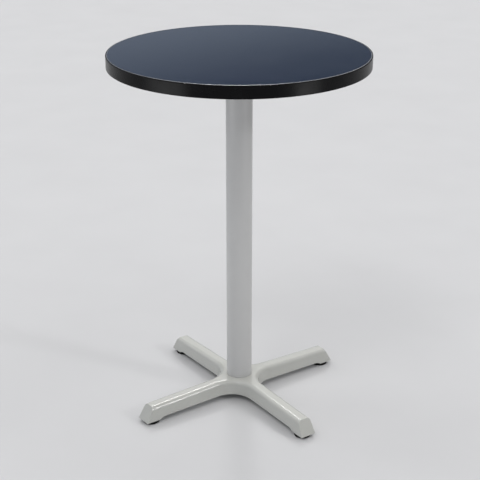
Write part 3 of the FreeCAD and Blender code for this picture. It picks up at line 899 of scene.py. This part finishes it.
joint = add(bpy.ops.mesh.primitive_cube_add, "butt_joint", size=1, location=joint_place,
            rotation=(0, 0, JOINT_BEARING), scale=(2 * JOINT_DEPTH, JOINT_WIDTH, 2 * BAND_RADIUS))
bpy.ops.object.mode_set(mode="OBJECT")
combine(band, joint, "DIFFERENCE")
smooth(band, CREASE)


def black_vinyl():
    """Extruded black vinyl: an even satin skin with faint die lines round the band and rubbed patches."""
    material, tree, shader, place = new_finish("black_vinyl", Specular_IOR_Level=0.1)
    rubbed = noise(tree, place, scale=25.0, detail=5.0, roughness=0.6)
    drawn = node(tree, "Mapping", "Vector", Vector=place, Scale=DIE_STRETCH)
    lines = bump(tree, noise(tree, drawn, scale=900.0, detail=3.0), depth=0.00003, strength=0.3)
    skin = noise(tree, place, scale=1600.0, detail=2.0)
    plug(tree, shader, Base_Color=two_tone(tree, rubbed, VINYL_BLACKS, low=0.35, high=0.7),
         Roughness=spread(tree, rubbed, start=0.24, end=0.30),
         Normal=bump(tree, skin, depth=0.00003, strength=0.25, under=lines))
    return material


dress(band, black_vinyl(), "edge_band", "table", "edge_band")


# Floor, light and camera: a pale seamless floor under a soft studio sky, with far lamps all round.
# Two low soft boxes with grids shine up at the edge band and leave their streaks on it.
# The camera stands at the photograph's angle, above the top, and looks down across it.
FLOOR_SIZE = 40.0
FLOOR_GREYS = ((0.622, 0.622, 0.632, 1), (0.638, 0.638, 0.648, 1))
SKY_STRENGTH = 2.0
SKY_TILT = math.radians(12.5)
# The sky's greys by height, from its middle upwards
SKY_STOPS = ((0.0, (0.17, 0.19, 0.22)), (0.17, (0.178, 0.200, 0.231)), (0.203, (0.140, 0.159, 0.184)),
             (0.24, (0.017, 0.019, 0.021)), (0.45, (0.03, 0.03, 0.03)), (0.60, (0.12, 0.12, 0.12)),
             (0.68, (0.52, 0.52, 0.52)), (0.92, (0.52, 0.52, 0.52)), (0.98, (0.28, 0.28, 0.28)))
# Each lamp's bearing, elevation and breadth in degrees, and its strength
FAR_LAMPS = {"back_lamp": (6, 40, 40, 0.4), "back_core": (-1, 43, 8.5, 0.4),
             "right_lamp": (86, 52, 36, 0.14), "right_core": (115.8, 28.5, 8, 0.43),
             "left_lamp": (-64, 39, 36, 0.5), "front_core": (-150, 56, 14, 0.15),
             "front_lamp": (-140, 40, 40, 0.36)}
LAMP_TARGET = Vector((0, 0, 1.05))
FAR_DISTANCE = 8.0
# Each box's bearing and elevation in degrees, distance, width and height, and watts
SOFT_BOXES = {"left_box": (-121, -14.5, 2.07, (1.3, 0.35), 0.9),
              "right_box": (126, -14.5, 2.07, (0.75, 0.35), 0.6)}
BOX_SPREAD = math.radians(70)
CAMERA_PLACE = (-1.8383, -2.6118, 1.7987)
CAMERA_TILT = math.radians(67.94)
CAMERA_BEARING = math.radians(-35.18)
CAMERA_LENS = 87.504

bpy.ops.object.select_all(action="DESELECT")
bpy.ops.mesh.primitive_plane_add(size=FLOOR_SIZE)
floor = bpy.context.active_object
floor.name = "studio_floor"


def studio_paper():
    """Pale seamless paper: hardly any grain, dull, and clear from underneath."""
    material, tree, shader, place = new_finish("studio_paper", Roughness=0.9, Specular_IOR_Level=0.0)
    grain = noise(tree, place, scale=3.0, detail=3.0)
    plug(tree, shader, Base_Color=two_tone(tree, grain, FLOOR_GREYS, low=0.3, high=0.7))
    under = node(tree, "NewGeometry", "Backfacing")
    clear = node(tree, "BsdfTransparent", "BSDF")
    seen = tree.nodes.new("ShaderNodeMixShader")
    tree.links.new(under, seen.inputs[0])
    tree.links.new(shader.outputs["BSDF"], seen.inputs[1])
    tree.links.new(clear, seen.inputs[2])
    tree.links.new(seen.outputs["Shader"], tree.nodes["Material Output"].inputs["Surface"])
    return material


floor.data.materials.append(studio_paper())

sky = bpy.data.worlds.new("studio_sky")
bpy.context.scene.world = sky
sky.use_nodes = True
sky_tree = sky.node_tree
direction = node(sky_tree, "TexCoord", "Generated")
tilted = node(sky_tree, "Mapping", "Vector", {"vector_type": "TEXTURE"}, Vector=direction,
              Rotation=(0, SKY_TILT, CAMERA_BEARING))
height = node(sky_tree, "SeparateXYZ", "Z", Vector=tilted)
sky_greys = ramp(sky_tree, height, *((place, (*colour, 1)) for place, colour in SKY_STOPS))
background = sky_tree.nodes["Background"]
plug(sky_tree, background, Color=sky_greys)
background.inputs["Strength"].default_value = SKY_STRENGTH


def add_lamp(kind, name, bearing, elevation, distance, strength):
    """A lamp aimed at the table's top; bearings count to the right from straight behind the table."""
    turn = math.pi / 2 + CAMERA_BEARING - math.radians(bearing)
    rise = math.radians(elevation)
    aim = Vector((math.cos(turn) * math.cos(rise), math.sin(turn) * math.cos(rise), math.sin(rise)))
    bpy.ops.object.light_add(type=kind, location=LAMP_TARGET + aim * distance,
                             rotation=aim.to_track_quat("Z", "Y").to_euler())
    lamp = bpy.context.active_object
    lamp.name = name
    lamp.data.energy = strength
    lamp.visible_camera = False
    return lamp.data


for name, (bearing, elevation, breadth, strength) in FAR_LAMPS.items():
    add_lamp("SUN", name, bearing, elevation, FAR_DISTANCE, strength).angle = math.radians(breadth)
for name, (bearing, elevation, distance, size, watts) in SOFT_BOXES.items():
    box = add_lamp("AREA", name, bearing, elevation, distance, watts)
    box.shape = "RECTANGLE"
    box.size, box.size_y = size
    box.spread = BOX_SPREAD

bpy.ops.object.camera_add(location=CAMERA_PLACE, rotation=(CAMERA_TILT, 0, CAMERA_BEARING))
camera = bpy.context.active_object
camera.data.lens = CAMERA_LENS
bpy.context.scene.camera = camera
bpy.context.scene.view_settings.view_transform = "Standard"
